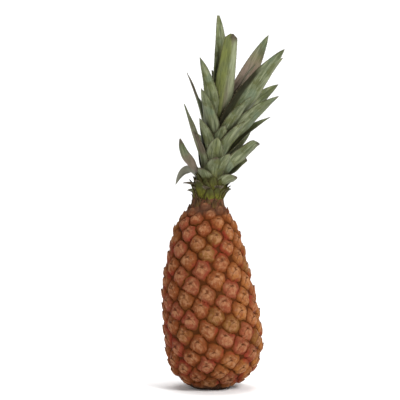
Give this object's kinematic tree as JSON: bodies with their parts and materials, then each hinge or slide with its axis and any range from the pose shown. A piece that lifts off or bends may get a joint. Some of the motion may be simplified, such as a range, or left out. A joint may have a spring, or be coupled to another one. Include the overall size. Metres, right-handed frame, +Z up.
{
  "type": "pineapple",
  "caption": "Ripe pineapple standing on its trimmed base, with spiralling fused eyes and a leafy crown leaning to one side.",
  "frame": {"origin": "middle of the flat face that the fruit stands on", "axes": "+Z up through the fruit to the crown, +X to the side that the crown leans to, -Y to the front"},
  "size_m": [0.1398, 0.1146, 0.4289],
  "materials": {
    "rind": "semi-matt orange-brown rind, darker red-brown in the grooves between the eyes",
    "cut_stalk": "matt dry fibrous cut face",
    "crown_leaf": "waxy grey-green leaf with a fine bloom"
  },
  "bodies": {
    "root": {"fruit": "rind", "stalk_end": "cut_stalk", "crown": "crown_leaf"}
  },
  "joints": []
}
